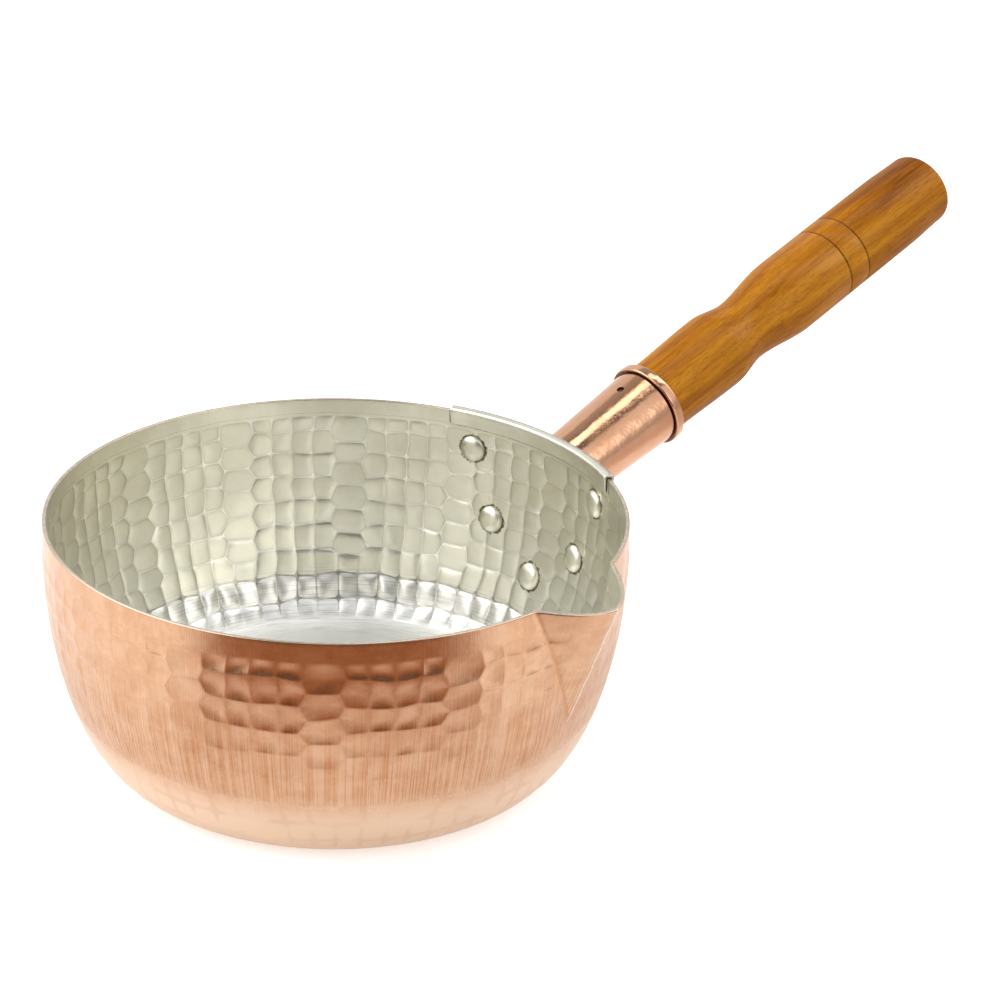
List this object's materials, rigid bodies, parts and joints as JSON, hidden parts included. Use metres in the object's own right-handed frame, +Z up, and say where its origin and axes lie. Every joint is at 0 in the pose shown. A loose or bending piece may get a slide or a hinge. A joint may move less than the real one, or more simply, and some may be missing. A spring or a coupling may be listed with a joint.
{
  "type": "saucepan",
  "caption": "Hammered copper saucepan, tinned inside, with a pouring lip and a turned wooden handle held in a riveted copper socket.",
  "frame": {"origin": "centre of the underside of the flat base, on the surface the pan stands on", "axes": "+Z up out of the bowl, +X from the bowl's axis towards the handle, which also rises; the pouring lip is on the -Y side"},
  "size_m": [0.3415, 0.172, 0.1287],
  "materials": {
    "copper": "brushed, lightly hammered copper",
    "tin": "wiped tin coat, warm grey",
    "wood": "clear lacquer over golden brown wood",
    "steel": "dark plain steel"
  },
  "bodies": {
    "root": {"bowl": "copper", "handle_plate": "copper", "rivet_upper_left": "tin", "rivet_upper_right": "tin", "rivet_lower_left": "tin", "rivet_lower_right": "tin", "rivet_bottom": "tin", "socket_cone": "copper", "collar_ring": "copper", "handle_wood": "wood", "handle_nail": "steel"}
  },
  "joints": []
}
